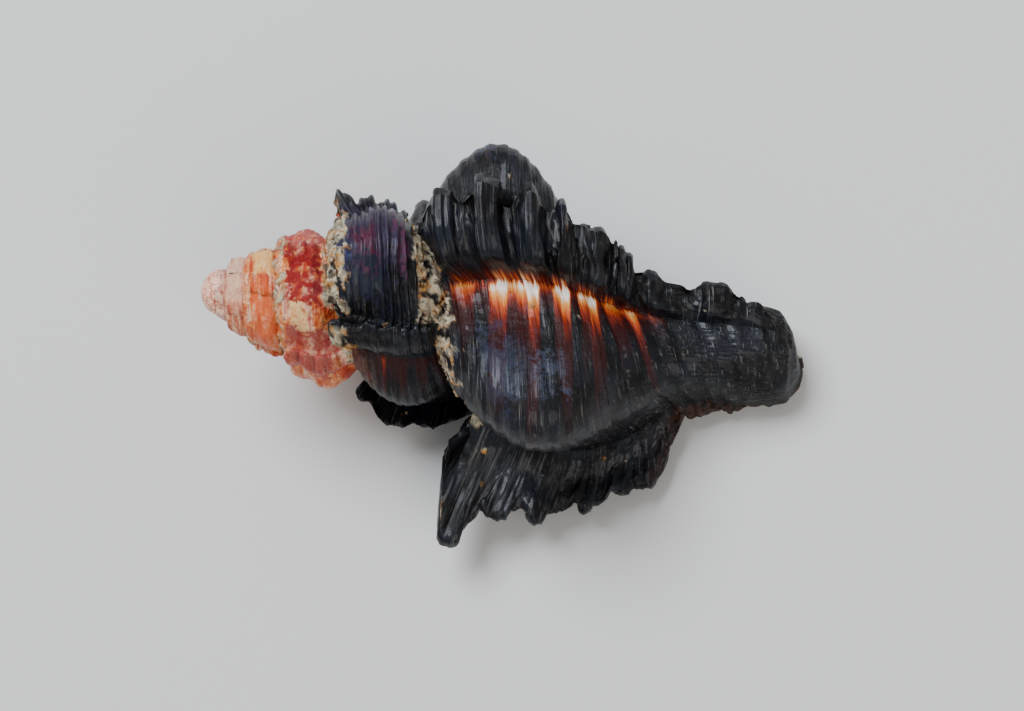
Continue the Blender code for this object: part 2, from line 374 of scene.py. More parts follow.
def profileCurve():
    # the lip's profile, as two smooth curves over its own length
    points = np.array(spiral["profile"])
    steps = np.hypot(*np.diff(points, axis=0).T)
    place = np.concatenate([[0.0], np.cumsum(steps)]) / steps.sum()
    slope = np.gradient(points, place, axis=0)
    share = np.linspace(0.0, 1.0, 45)
    index = np.clip(np.searchsorted(place, share, side="right") - 1, 0, len(place) - 2)
    width = (place[index + 1] - place[index])[:, None]
    t = (share[:, None] - place[index][:, None]) / width
    rise = points[index + 1] - points[index]
    start = slope[index] * width
    end = slope[index + 1] * width
    curve = points[index] + start * t + (3 * rise - 2 * start - end) * t**2 + (start + end - 2 * rise) * t**3
    along = [(float(s), float(v)) for s, v in zip(share, curve[:, 0] / spiral["alongRange"])]
    out = [(float(s), float(v)) for s, v in zip(share, curve[:, 1] / spiral["outRange"])]
    return along, out


varixInputs = [
    ("Start", "Float", 0.0), ("Varix", "Float", 0.0), ("End", "Float", 0.0),
    ("Face Foot", "Float", 12.0), ("Back Foot", "Float", 17.0), ("Edge", "Float", 4.0),
    ("Lean", "Float", 10.0), ("Height", "Float", 1.0), ("Shoulder", "Float", 1.0),
    ("Swell Behind", "Float", 10.0), ("Place Behind", "Float", 0.0), ("Spread Behind", "Float", 20.0),
    ("Swell In Front", "Float", 10.0), ("Place In Front", "Float", 0.0), ("Spread In Front", "Float", 20.0),
    ("Swell Along Behind", "Float", 46.0), ("Swell Along In Front", "Float", 46.0),
    ("Swell Length Behind", "Float", 12.0), ("Swell Length In Front", "Float", 12.0),
    ("Notch", "Float", 0.9), ("Edge From", "Float", 0.82), ("Bulge", "Float", 1.0),
    ("Grooves", "Float", 0.5), ("Number", "Float", 0.0),
]


def surfaceTree(name, row):
    # one place of the outside: Row runs from -1 behind a varix, over 0 on its edge, to 1 in front of it
    inputs = [("Row", "Float", 0.0), ("Share", "Float", 0.0)] + varixInputs
    outputs = (("Position", "Vector"), ("Place", "Vector"), ("Form", "Vector"))
    tree, net, v = newTree(name, inputs, outputs)
    alongPoints, outPoints = profileCurve()
    share = v["Share"]
    along = net.add("ShaderNodeFloatCurve", {"points": alongPoints}, {"Value": share}) * spiral["alongRange"]
    out = net.add("ShaderNodeFloatCurve", {"points": outPoints}, {"Value": share}) * spiral["outRange"]
    front = v["Row"] > 0.0
    side = front * 2.0 - 1.0
    away = magnitude(v["Row"])
    lift = 1.0 - clip(away / mesh["finShare"])
    t = clip((away - mesh["finShare"]) / (1.0 - mesh["finShare"]))
    foot = v["Back Foot"] + (v["Face Foot"] - v["Back Foot"]) * front
    far = v["Start"] + (v["End"] - v["Start"]) * front
    nearFoot = v["Varix"] + side * foot
    past = clip((lift - v["Edge From"]) / (1.0 - v["Edge From"]))
    rounded = 1.0 - sqrt(1.0 - past * past)
    climb = 1.0 - (1.0 - lift) ** fronds["flare"]
    angle = nearFoot + (far - nearFoot) * t - side * ((foot - v["Edge"]) * climb + v["Edge"] * rounded)
    scale = spiral["growthPerTurn"] ** ((angle - spiral["lipAngle"]) / 360.0)
    swellPlace = v["Place Behind"] + (v["Place In Front"] - v["Place Behind"]) * front
    swellSpread = v["Spread Behind"] + (v["Spread In Front"] - v["Spread Behind"]) * front
    swellHeight = v["Swell Behind"] + (v["Swell In Front"] - v["Swell Behind"]) * front
    off = (angle - swellPlace) / swellSpread
    swellAlong = v["Swell Along Behind"] + (v["Swell Along In Front"] - v["Swell Along Behind"]) * front
    swellLength = v["Swell Length Behind"] + (v["Swell Length In Front"] - v["Swell Length Behind"]) * front
    offAlong = (along - swellAlong) / swellLength
    swell = exp(-(off * off) - offAlong * offAlong)
    fill = smooth(angle, *spiral["fillBelow"]) * smooth(along, *spiral["fillAlong"]) * spiral["shoulderFill"]
    cone = (along - spiral["profile"][0][0]) * spiral["coneSlope"] + spiral["coneOut"]
    cone = (cone - out - fill) * smooth(angle, *spiral["coneBelow"]) * spiral["coneShare"]
    cone = cone * smooth(along, *spiral["coneEnd"])
    body = out + swellHeight * swell + fill + cone
    # the fronds, each bent a little its own way
    bend = noise(net, vector(net, lift * 1.3 + v["Number"] * 4.7, along * 0.21, v["Number"]), 1.0, 2.0)
    bent = along + (bend - 0.5) * lift * relief["frondBend"]
    reach = None
    web = None
    lobe = None
    for i, (place, tip, half) in enumerate(row):
        tall = tip
        if i == 0:
            tall = (fronds["shoulderLeast"] + (1.0 - fronds["shoulderLeast"]) * v["Shoulder"]) * tip
        away = (bent - place) / half
        fourth = (away * away) ** 2.0
        one = sqrt(clip(1.0 - fourth)) * tall - away * away * relief["frondRound"]
        wide = exp(fourth * (-1.0 / fronds["webWidth"] ** 4)) * tall
        crown = 1.0 - smooth(magnitude(away), *fronds["lobeEdge"])
        reach = one if reach is None else larger(reach, one)
        web = wide if web is None else larger(web, wide)
        lobe = crown if lobe is None else larger(lobe, crown)
    web = web * smooth(along, row[0][0] - row[0][2], row[0][0])
    reach = larger(reach, web * v["Notch"])
    frill = noise(net, vector(net, along * 0.75, lift * 0.6, v["Number"] * 2.3), 1.0, 3.0, 0.6)
    reach = reach + (frill - 0.5) * relief["frill"] * lift
    height = larger(reach - out, 0.0) * v["Height"]
    rise = lift ** fronds["risePower"] * height
    curl = 1.0 + (lobe - 0.5) * v["Grooves"] * relief["curl"]
    lean = lift ** fronds["leanPower"] * smooth(height, *fronds["leanHeights"]) * v["Lean"] * curl
    fan = lift * smooth(height, *fronds["fanHeights"]) * (along < fronds["fanUntil"])
    fan = fan * (fronds["fanAtShoulder"] + fronds["fanSlope"] * (along - fronds["fanFrom"]))
    girthRange = spiral["girthAngles"][-1] - spiral["girthAngles"][0]
    girthPoints = [((a - spiral["girthAngles"][0]) / girthRange, g / 5.0)
                   for a, g in zip(spiral["girthAngles"], spiral["girths"])]
    stout = net.add("ShaderNodeFloatCurve", {"points": girthPoints},
                    {"Value": (angle - spiral["girthAngles"][0]) / girthRange}) * 5.0
    canal = smooth(along, spiral["canalStart"], spiral["profile"][-1][0])
    tip = spiral["profile"][-1][0] * (scale ** spiral["canalKeep"] - scale)
    bulge = side * v["Bulge"] * lobe * smooth(lift, *fronds["bulgeLifts"])
    bulge = bulge * smooth(height, *fronds["bulgeHeights"]) * (1.0 - rounded)
    turned = (angle - lean + bulge) * (math.pi / 180.0)
    onAxis = scale * (along + fan) + tip * canal
    outward = scale * stout * (body + rise)
    position = vector(net, onAxis * mm, outward * sine(turned) * -mm, outward * cosine(turned) * mm)
    stands = smooth(height, 0.0, 4.0) * lift
    finishTree(net, {"Position": position, "Place": vector(net, angle, along, stands),
                     "Form": vector(net, lobe, scale, v["Number"] + front * -0.5)})
    return tree


def varixTree(name, surface):
    # sets the rows of one varix on a tube, and its fine relief
    inputs = [("Geometry", "Geometry", None), ("First Row", "Float", 0.0), ("Rows Behind", "Float", 10.0),
              ("Rows In Front", "Float", 10.0), ("Reach In Front", "Float", 1.0),
              ("Points Along", "Float", 100.0), ("Points On Axis", "Float", 10.0),
              ("Cord Height", "Float", 0.1), ("Groove Depth", "Float", 1.0)] + varixInputs
    tree, net, v = newTree(name, inputs)
    rowIndex = kept(net, "rowIndex", "FLOAT")
    ringIndex = kept(net, "ringIndex", "FLOAT")
    local = rowIndex - v["First Row"]
    chosen = (local > -0.5) * (local < (v["Rows Behind"] + v["Rows In Front"] + 0.5))
    behind = local / v["Rows Behind"] - 1.0
    inFront = (local - v["Rows Behind"]) / v["Rows In Front"] * v["Reach In Front"]
    row = behind + (inFront - behind) * (local > v["Rows Behind"])
    share = clip(ringIndex / (v["Points Along"] - 1.0))
    onAxis = ringIndex > (v["Points Along"] - 0.5)
    back = clip((ringIndex - v["Points Along"] + 1.0) / (v["Points On Axis"] + 1.0))
    shareOf = share * (1.0 - onAxis)

    def at(rowWire, shareWire):
        sockets = {label: v[label] for label, kind, value in varixInputs}
        sockets["Row"] = rowWire
        sockets["Share"] = shareWire
        return net.add("GeometryNodeGroup", {"node_tree": surface}, sockets)

    here = at(row, shareOf)
    ahead = at(smaller(row + mesh["rowStep"], 1.0), shareOf)
    astern = at(larger(row - mesh["rowStep"], -1.0), shareOf)
    further = at(row, smaller(shareOf + mesh["shareStep"], 1.0))
    nearer = at(row, larger(shareOf - mesh["shareStep"], 0.0))
    first = at(row, 0.0)
    last = at(row, 1.0)
    alongRows = vectorMath(net, "SUBTRACT", ahead, astern)
    acrossRows = vectorMath(net, "SUBTRACT", further, nearer)
    normal = vectorMath(net, "NORMALIZE", vectorMath(net, "CROSS_PRODUCT", alongRows, acrossRows))
    # at the ends of the tube the relief stays in the plane of the row
    angle, along, stands = parts(net, here.out("Place"))
    lobe, scale, number = parts(net, here.out("Form"))
    turned = angle * (math.pi / 180.0)
    tangent = vector(net, 0.0, -cosine(turned), -sine(turned))
    planar = smooth(magnitude(row), 0.94, 1.0)
    slip = vectorMath(net, "DOT_PRODUCT", normal, tangent, out="Value") * planar
    normal = vectorMath(net, "SUBTRACT", normal, vectorMath(net, "SCALE", tangent, scale=slip))

    # cords: fine on the body, coarser on the canal
    coarse = 1.0 / relief["cordPitch"] - 1.0 / relief["canalCordPitch"]
    count = along / relief["cordPitch"] - larger(along - spiral["canalStart"], 0.0) * coarse
    wander = noise(net, vector(net, angle * 0.035, along * 0.16, number), 1.0, 2.0)
    count = count + (wander - 0.5) * 1.6
    wave = cosine(count * (2.0 * math.pi)) * 0.5 + 0.5
    cord = wave ** 0.75
    strong = noise(net, vector(net, angle * 0.02, count * 0.5, 3.0), 1.0, 1.0)
    cordHeight = v["Cord Height"] * (0.35 + strong * 1.3) * (1.0 + stands * 0.8)
    lines = noise(net, vector(net, angle * 1.1, along * 0.10, number), 1.0, 3.0, 0.6)
    uneven = noise(net, vector(net, angle * 0.16, along * 0.55, number * 3.0), 1.0, 2.0)
    groove = (1.0 - lobe) * stands * v["Grooves"] * v["Groove Depth"]
    offset = cord * cordHeight + (lines - 0.5) * relief["growthLines"] * 2.0
    offset = offset + (uneven - 0.5) * relief["lumps"] * (0.15 + stands)
    wrinkle = noise(net, vector(net, angle * 0.30, along * 1.3, number * 5.0), 1.0, 3.0, 0.6)
    offset = offset + (wrinkle - 0.5) * relief["wrinkles"] * (0.12 + stands)
    folded = within(angle, *relief["foldedWhorl"]) * 0.8 + 0.2
    fold = cosine((along / relief["foldPitch"] + (wander - 0.5) * 1.3) * (2.0 * math.pi)) * (strong + 0.5)
    offset = offset + fold * folded * relief["foldHeight"] * smooth(angle, *relief["foldsFrom"])
    nodule = noise(net, vector(net, angle * 0.055, along * 0.15, 2.0), 1.0, 3.0, 0.55)
    offset = offset + (nodule - 0.5) * relief["nodules"] * smooth(angle, *relief["nodulesFrom"])
    offset = (offset - groove) * scale * mm
    offset = offset * smooth(share, 0.0, 0.02) * smooth(share, 1.0, 0.985)
    position = vectorMath(net, "ADD", here, vectorMath(net, "SCALE", normal, scale=offset))
    # the tube is closed along the axis
    startX = parts(net, first)[0]
    endX = parts(net, last)[0]
    backX = endX + (startX - endX) * back
    core = mesh["core"] * mm
    closing = vector(net, backX, sine(turned) * -core, cosine(turned) * core)
    position = net.add("ShaderNodeMix", {"data_type": "VECTOR"}, {0: onAxis, 4: position, 5: closing}, out=1)

    shape = net.add("GeometryNodeSetPosition", None,
                    {"Geometry": v["Geometry"], "Selection": chosen, "Position": position})
    shape = stored(net, shape, "place", "FLOAT_VECTOR", vector(net, angle, along, stands), chosen=chosen)
    shape = stored(net, shape, "form", "FLOAT_VECTOR", vector(net, lobe, cord, number), chosen=chosen)
    finishTree(net, {"Geometry": shape})
    return tree


def tube(net, rings, around):
    # a closed tube of rings, each point numbered by its ring and its place on it
    made = net.add("GeometryNodeMeshCylinder", {"fill_type": "NGON"},
                   {"Vertices": around, "Side Segments": rings - 1, "Radius": 1.0, "Depth": 1.0})
    where = net.add("GeometryNodeInputPosition")
    x, y, z = parts(net, where)
    turn = where.math("ARCTAN2", y, x) / (2.0 * math.pi)
    ringPlace = where.math("ROUND", where.math("FRACT", turn + 1.0 + 0.25 / around) * around - 0.25)
    rowPlace = where.math("ROUND", (0.5 - z) * (rings - 1))
    shape = stored(net, made, "rowIndex", "FLOAT", rowPlace)
    return stored(net, shape, "ringIndex", "FLOAT", ringPlace)


ownValues = {
    "Face Foot": "footFace", "Back Foot": "footBack", "Edge": "edge", "Edge From": "edgeFrom",
    "Notch": "notch", "Bulge": "bulge", "Lean": "lean", "Height": "height", "Shoulder": "shoulder",
    "Grooves": "grooves", "Swell Along Behind": "swellAlong", "Swell Length Behind": "swellHalfLength",
}


def varixValues(number):
    older = varixAngle(number + 1)
    newer = varixAngle(number)
    step = spiral["varixStep"]
    values = {label: ofVarix(name, number) for label, name in ownValues.items()}
    values.update({
        "Start": middleOfStage(number), "Varix": newer, "End": middleOfStage(number - 1),
        "Swell Along In Front": ofVarix("swellAlong", number - 1),
        "Swell Length In Front": ofVarix("swellHalfLength", number - 1),
        "Number": float(number),
        "Swell Behind": varices["swellHeight"] * ofVarix("swell", number),
        "Place Behind": older + step * ofVarix("swellPlace", number),
        "Spread Behind": step * ofVarix("swellSpread", number),
        "Swell In Front": varices["swellHeight"] * ofVarix("swell", number - 1),
        "Place In Front": newer + step * ofVarix("swellPlace", number - 1),
        "Spread In Front": step * ofVarix("swellSpread", number - 1),
    })
    return values


# Which varices each solid holds, and how fine it is. Every end lies where the shell hides it.
solids = (
    {"varices": (2, 1, 0), "behind": 96, "inFront": 100, "along": 330, "axis": 30},
    {"varices": (5, 4, 3), "behind": 70, "inFront": 70, "along": 300, "axis": 30},
    {"varices": (8, 7, 6), "behind": 40, "inFront": 40, "along": 200, "axis": 20},
    {"varices": (11, 10, 9), "behind": 24, "inFront": 24, "along": 120, "axis": 12},
    {"varices": (14, 13, 12), "behind": 12, "inFront": 12, "along": 60, "axis": 8},
    {"varices": (17, 16, 15), "behind": 8, "inFront": 8, "along": 40, "axis": 6},
    {"varices": (19, 18), "behind": 8, "inFront": 8, "along": 30, "axis": 6},
)

aperture = {
    "along": 47.6,
    "out": 9.6,
    "halfLength": 9.6,
    "halfDepth": 4.7,
    "turn": 150.0,
    "mouth": 34.0,
    "endTurn": 95.0,
    "endWidth": 0.12,
    "egg": 0.28,
    "rows": 120,
    "sides": 150,
    "slotFrom": 55.0,
    "slotTo": 78.0,
    "slotTurn": 15.0,
    "slotHalfWidth": 0.7,
    "slotIn": 1.8,
    "slotOut": 12.0,
}


def hornShape(net):
    # the aperture's hollow: a horn that follows the coil inwards to a rounded end
    shape = tube(net, aperture["rows"], aperture["sides"])
    row = kept(net, "rowIndex", "FLOAT")
    ring = kept(net, "ringIndex", "FLOAT")
    turnAll = aperture["turn"] + aperture["mouth"]
    inward = row / (aperture["rows"] - 1.0) * turnAll
    angle = inward + (spiral["lipAngle"] - aperture["turn"])
    scale = spiral["growthPerTurn"] ** ((smaller(angle, spiral["lipAngle"]) - spiral["lipAngle"]) / 360.0)
    end = clip(inward / aperture["endTurn"])
    wide = larger(sqrt(1.0 - (1.0 - end) * (1.0 - end)), aperture["endWidth"])
    around = ring / float(aperture["sides"]) * (-2.0 * math.pi)
    narrow = 1.0 - cosine(around) * aperture["egg"]
    along = (cosine(around) * aperture["halfLength"] * wide + aperture["along"]) * scale
    out = (sine(around) * aperture["halfDepth"] * wide * narrow + aperture["out"]) * scale
    turned = angle * (math.pi / 180.0)
    position = vector(net, along * mm, out * sine(turned) * -mm, out * cosine(turned) * mm)
    shape = net.add("GeometryNodeSetPosition", None, {"Geometry": shape, "Position": position})
    return inner(net, shape, vector(net, angle, ring, 0.0))


def slotShape(net):
    # the canal's open slot
    turn = math.radians(spiral["lipAngle"] + aperture["slotTurn"])
    length = aperture["slotTo"] - aperture["slotFrom"]
    depth = aperture["slotOut"] - aperture["slotIn"]
    box = net.add("GeometryNodeMeshCube", None,
                  {"Size": (length * mm, 2.0 * aperture["slotHalfWidth"] * mm, depth * mm),
                   "Vertices X": 60, "Vertices Y": 4, "Vertices Z": 30})
    middle = (aperture["slotIn"] + aperture["slotOut"]) / 2.0 * mm
    at = ((aperture["slotFrom"] + aperture["slotTo"]) / 2.0 * mm,
          -math.sin(turn) * middle, math.cos(turn) * middle)
    shape = net.add("GeometryNodeTransform", None,
                    {"Geometry": box, "Translation": at, "Rotation": (turn, 0.0, 0.0)})
    return inner(net, shape, vector(net, spiral["lipAngle"], 0.0, 0.0))


def inner(net, shape, place):
    shape = stored(net, shape, "place", "FLOAT_VECTOR", place)
    shape = stored(net, shape, "made", "FLOAT", 1.0)
    return stored(net, shape, "inside", "FLOAT", 1.0, "FACE")


def apexShape(net):
    # the first whorl of all, a blunt dome
    ball = net.add("GeometryNodeMeshUVSphere", None,
                   {"Segments": spiral["apexSides"], "Rings": spiral["apexRings"]})
    size = (spiral["apexHalfLength"] * mm, spiral["apexHalfWidth"] * mm, spiral["apexHalfWidth"] * mm)
    shape = net.add("GeometryNodeTransform", None,
                    {"Geometry": ball, "Translation": (spiral["apexAlong"] * mm, 0.0, 0.0), "Scale": size})
    shape = stored(net, shape, "place", "FLOAT_VECTOR", (-2000.0, 45.0, 0.0))
    shape = stored(net, shape, "form", "FLOAT_VECTOR", (0.0, 0.5, 19.0))
    return stored(net, shape, "made", "FLOAT", 1.0)


def shellTree():
    inputs = [("Geometry", "Geometry", None), ("Cord Height", "Float", 0.1), ("Groove Depth", "Float", 1.0),
              ("Crust Height", "Float", 1.0), ("Outside", "Material", None), ("Inside", "Material", None)]
    tree, net, v = newTree("murexShell", inputs)
    builders = {key: varixTree(key + "Varix", surfaceTree(key + "Surface", fronds[key]))
                for key in ("lip", "back")}
    made = []
    for solid in solids:
        reaches = [mesh["finShare"] if number == 0 else 1.0 for number in solid["varices"]]
        fronts = [round(solid["inFront"] * reach) for reach in reaches]
        rings = sum(fronts) + solid["behind"] * len(fronts) + 1
        shape = tube(net, rings, solid["along"] + solid["axis"])
        first = 0
        for number, inFront, reach in zip(solid["varices"], fronts, reaches):
            builder = builders["lip" if number == 0 else "back"]
            sockets = dict(varixValues(number))
            sockets.update({"Geometry": shape, "First Row": float(first),
                            "Rows Behind": float(solid["behind"]),
                            "Rows In Front": float(inFront), "Reach In Front": float(reach),
                            "Points Along": float(solid["along"]), "Points On Axis": float(solid["axis"]),
                            "Cord Height": v["Cord Height"], "Groove Depth": v["Groove Depth"]})
            shape = net.add("GeometryNodeGroup", {"node_tree": builder}, sockets)
            first += solid["behind"] + inFront
        made.append(stored(net, shape, "made", "FLOAT", 1.0))
    made.append(apexShape(net))
    whole = net.add("GeometryNodeMeshBoolean", {"operation": "UNION", "solver": "MANIFOLD"}, {"Mesh 2": made})
    cut = [hornShape(net), slotShape(net)]
    whole = net.add("GeometryNodeMeshBoolean", {"operation": "DIFFERENCE", "solver": "MANIFOLD"},
                    {"Mesh 1": whole, "Mesh 2": cut})
    # crumbs that the cut left loose go
    island = net.add("GeometryNodeInputMeshIsland")
    size = net.add("GeometryNodeAccumulateField", {"data_type": "INT", "domain": "POINT"},
                   {"Value": 1, "Group ID": island}).out("Total")
    whole = net.add("GeometryNodeDeleteGeometry", {"domain": "POINT"},
                    {"Geometry": whole, "Selection": size < mesh["leastPoints"]})
    # where two solids met, the new points take what their neighbours hold
    isMade = kept(net, "made", "FLOAT")
    weight = larger(blurred(net, isMade, "FLOAT", 2), 0.001)
    for name in ("place", "form"):
        held = vectorMath(net, "SCALE", kept(net, name, "FLOAT_VECTOR"), scale=isMade)
        filled = vectorMath(net, "SCALE", blurred(net, held, "FLOAT_VECTOR", 2), scale=1.0 / weight)
        whole = stored(net, whole, name, "FLOAT_VECTOR", filled, chosen=isMade < 0.5)
    # crust grows along the sutures and in a few patches, and stands up from the shell
    whole = stored(net, whole, "seam", "FLOAT", blurred(net, 1.0 - isMade, "FLOAT", crust["seamSteps"]))
    angle, along = parts(net, kept(net, "place", "FLOAT_VECTOR"))[:2]
    position = net.add("GeometryNodeInputPosition")
    isInside = clip(blurred(net, kept(net, "inside", "FLOAT"), "FLOAT", crust["rimSteps"]) * crust["rimMuch"])
    ragged = noise(net, position, crust["patchScale"], 4.0, 0.6)
    grains = noise(net, position, crust["grainScale"], 3.0, 0.6)
    amount = smooth(kept(net, "seam", "FLOAT"), *crust["seam"]) * smooth(angle, *crust["seamFrom"])
    amount = amount * crust["seamMuch"]
    for zone in crust["zones"]:
        amount = larger(amount, within(angle, *zone[:3]) * within(along, *zone[3:6]) * zone[6])
    amount = smooth(amount + (ragged - 0.5) * crust["ragged"], *crust["edge"]) * (1.0 - isInside)
    whole = stored(net, whole, "crust", "FLOAT", amount)
    lift = amount * (grains - crust["sunk"]) * v["Crust Height"] * mm
    lift = vectorMath(net, "SCALE", net.add("GeometryNodeInputNormal"), scale=lift)
    whole = net.add("GeometryNodeSetPosition", None, {"Geometry": whole, "Offset": lift})
    whole = net.add("GeometryNodeSetShadeSmooth", None, {"Geometry": whole, "Shade Smooth": True})
    whole = net.add("GeometryNodeRealizeInstances", None, {"Geometry": whole})
    whole = net.add("GeometryNodeSetMaterial", None, {"Geometry": whole, "Material": v["Outside"]})
    isInside = kept(net, "inside", "FLOAT") > 0.5
    whole = net.add("GeometryNodeSetMaterial", None,
                    {"Geometry": whole, "Selection": isInside, "Material": v["Inside"]})
    finishTree(net, {"Geometry": whole})
    return tree


def setInputs(modifier, values):
    for item in modifier.node_group.interface.items_tree:
        if item.in_out == "INPUT" and item.name in values:
            modifier[item.identifier] = values[item.name]


def pieceTree():
    # keeps the faces between two places of growth, on the outside or in the aperture
    inputs = [("Geometry", "Geometry", None), ("From Angle", "Float", 0.0), ("To Angle", "Float", 0.0),
              ("In Aperture", "Float", 0.0), ("Material", "Material", None)]
    tree, net, v = newTree("shellPiece", inputs)
    angle = parts(net, kept(net, "place", "FLOAT_VECTOR"))[0]
    there = (angle > v["From Angle"]) * (angle < v["To Angle"])
    isInside = kept(net, "inside", "FLOAT") > 0.5
    outer = there * (1.0 - isInside)
    wanted = outer + (isInside - outer) * v["In Aperture"]
    shape = net.add("GeometryNodeDeleteGeometry", {"domain": "FACE"},
                    {"Geometry": v["Geometry"], "Selection": wanted < 0.5})
    shape = net.add("GeometryNodeRealizeInstances", None, {"Geometry": shape})
    shape = net.add("GeometryNodeSetMaterial", None, {"Geometry": shape, "Material": v["Material"]})
    finishTree(net, {"Geometry": shape})
    return tree


def built(name, tree, values, start=None):
    holder = bpy.data.objects.new(name, start or bpy.data.meshes.new(name))
    bpy.context.scene.collection.objects.link(holder)
    modifier = holder.modifiers.new("shape", "NODES")
    modifier.node_group = tree
    setInputs(modifier, values)
    bpy.context.view_layer.update()
    graph = bpy.context.evaluated_depsgraph_get()
    data = bpy.data.meshes.new_from_object(holder.evaluated_get(graph))
    holder.modifiers.remove(modifier)
    bpy.data.objects.remove(holder)
    return data


outside = bpy.data.materials.new("darkShell")
inside = bpy.data.materials.new("apertureGlaze")
wholeMesh = built("wholeShell", shellTree(), {
    "Cord Height": relief["cordHeight"], "Groove Depth": relief["grooveDepth"],
    "Crust Height": crust["height"], "Outside": outside, "Inside": inside})
print("shell built:", len(wholeMesh.polygons), "faces")

# How the shell lies: the same turn and shift as its solid.
lies = {"roll": -5.93, "pitch": 13.1, "shift": (-36.8907042, 4.0915906, 20.0954676), "lowest": 0.02}
layDown = (Matrix.Translation(Vector(lies["shift"]) * mm)
           @ Matrix.Rotation(math.radians(lies["pitch"]), 4, "Y")
           @ Matrix.Rotation(math.radians(lies["roll"]), 4, "X"))
wholeMesh.transform(layDown)
# no lump reaches through the floor
points = np.empty(len(wholeMesh.vertices) * 3)
wholeMesh.vertices.foreach_get("co", points)
points[2::3] = np.maximum(points[2::3], lies["lowest"] * mm)
wholeMesh.vertices.foreach_set("co", points)
wholeMesh.update()

pieces = {
    "lastWhorlLip": (varixAngle(1), 1000.0),
    "lastWhorlTop": (varixAngle(2), varixAngle(1)),
    "lastWhorlFar": (varixAngle(3), varixAngle(2)),
    "innerWhorls": (varixAngle(5), varixAngle(3)),
    "spire": (-10000.0, varixAngle(5)),
    "apertureLining": None,
}
chooser = pieceTree()
for name, span in pieces.items():
    low, high = span or (0.0, 0.0)
    data = built(name, chooser, {
        "From Angle": low, "To Angle": high, "In Aperture": 0.0 if span else 1.0,
        "Material": outside if span else inside}, wholeMesh)
    data.name = name
    piece = bpy.data.objects.new(name, data)
    bpy.context.scene.collection.objects.link(piece)
    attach(piece, "root")
    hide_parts("shell")
    print(name, len(data.polygons), "faces")


# The outside: black and glossy, with flames in front of each fin and a coloured spire.

def tint(red, green, blue):
    # from 0 to 255 as seen, to what the shader takes
    return tuple(((c / 255.0 + 0.055) / 1.055) ** 2.4 for c in (red, green, blue)) + (1.0,)


paint = {
    "black": tint(12, 11, 12),
    "brownBlack": tint(33, 24, 19),
    # painted blue sky sheen, laid in patches over the black
    "blueSheenBlack": tint(18, 20, 28),
    # painted highlight on the cord crests, mixed with pale deposit
    "ridgeGlintAndDeposit": tint(126, 124, 118),
    "white": tint(244, 232, 222),
    "yellow": tint(222, 152, 68),
    "orange": tint(184, 76, 24),
    "rust": tint(118, 32, 14),
    "maroon": tint(50, 14, 13),
    "pinkWhite": tint(238, 196, 176),
    "vein": tint(176, 52, 34),
    "crustPale": tint(190, 176, 148),
    "crustOchre": tint(176, 122, 62),
    "crustGrey": tint(104, 98, 88),
    "pore": tint(34, 30, 28),
    # where the flames of each place along the profile turn black, in degrees from the fin's foot
    "flameFrom": 36.0,
    "flameTo": 72.0,
    "flameMost": 60.0,
    "flames": ((36.0, 8), (37.2, 10), (37.5, 25), (38.8, 28), (39.0, 34), (40.5, 30), (40.8, 12), (42.5, 14),
               (42.8, 38), (45.2, 41), (45.4, 19), (46.6, 22), (46.8, 30), (48.1, 28), (48.3, 46), (49.7, 42),
               (49.9, 8), (51.7, 7), (51.9, 27), (52.8, 30), (53.0, 44), (54.1, 40), (54.3, 6), (55.4, 7),
               (55.6, 28), (56.6, 26), (56.8, 42), (57.8, 38), (58.0, 11), (58.8, 10), (59.0, 33), (60.3, 30),
               (60.5, 18), (61.1, 20), (61.3, 64), (61.8, 60), (62.0, 14), (63.1, 13), (63.3, 24), (64.3, 22),
               (64.6, 10), (66.0, 9), (66.5, 2), (72.0, 1)),
    "flameStart": -2.0,
    "flameNext": -87.0,
    "flameLead": 4.0,
    "flameSlant": 0.035,
    "flameVary": 0.72,
    "flameEven": 7.5,
    "flameLast": (-313.0, -304.0),
    "flameWhite": (42.6, 58.2, 0.6),
    "flameReach": (37.5, 63.0, 1.8),
    "flameFringe": (4.5, -3.0),
    "flameEnd": (1.9, 0.95),
    "flameStops": ((0.0, "white"), (0.28, "white"), (0.40, "yellow"), (0.54, "orange"), (0.70, "rust"),
                   (0.94, "maroon")),
    "spireFrom": (-424.0, -440.0),
}
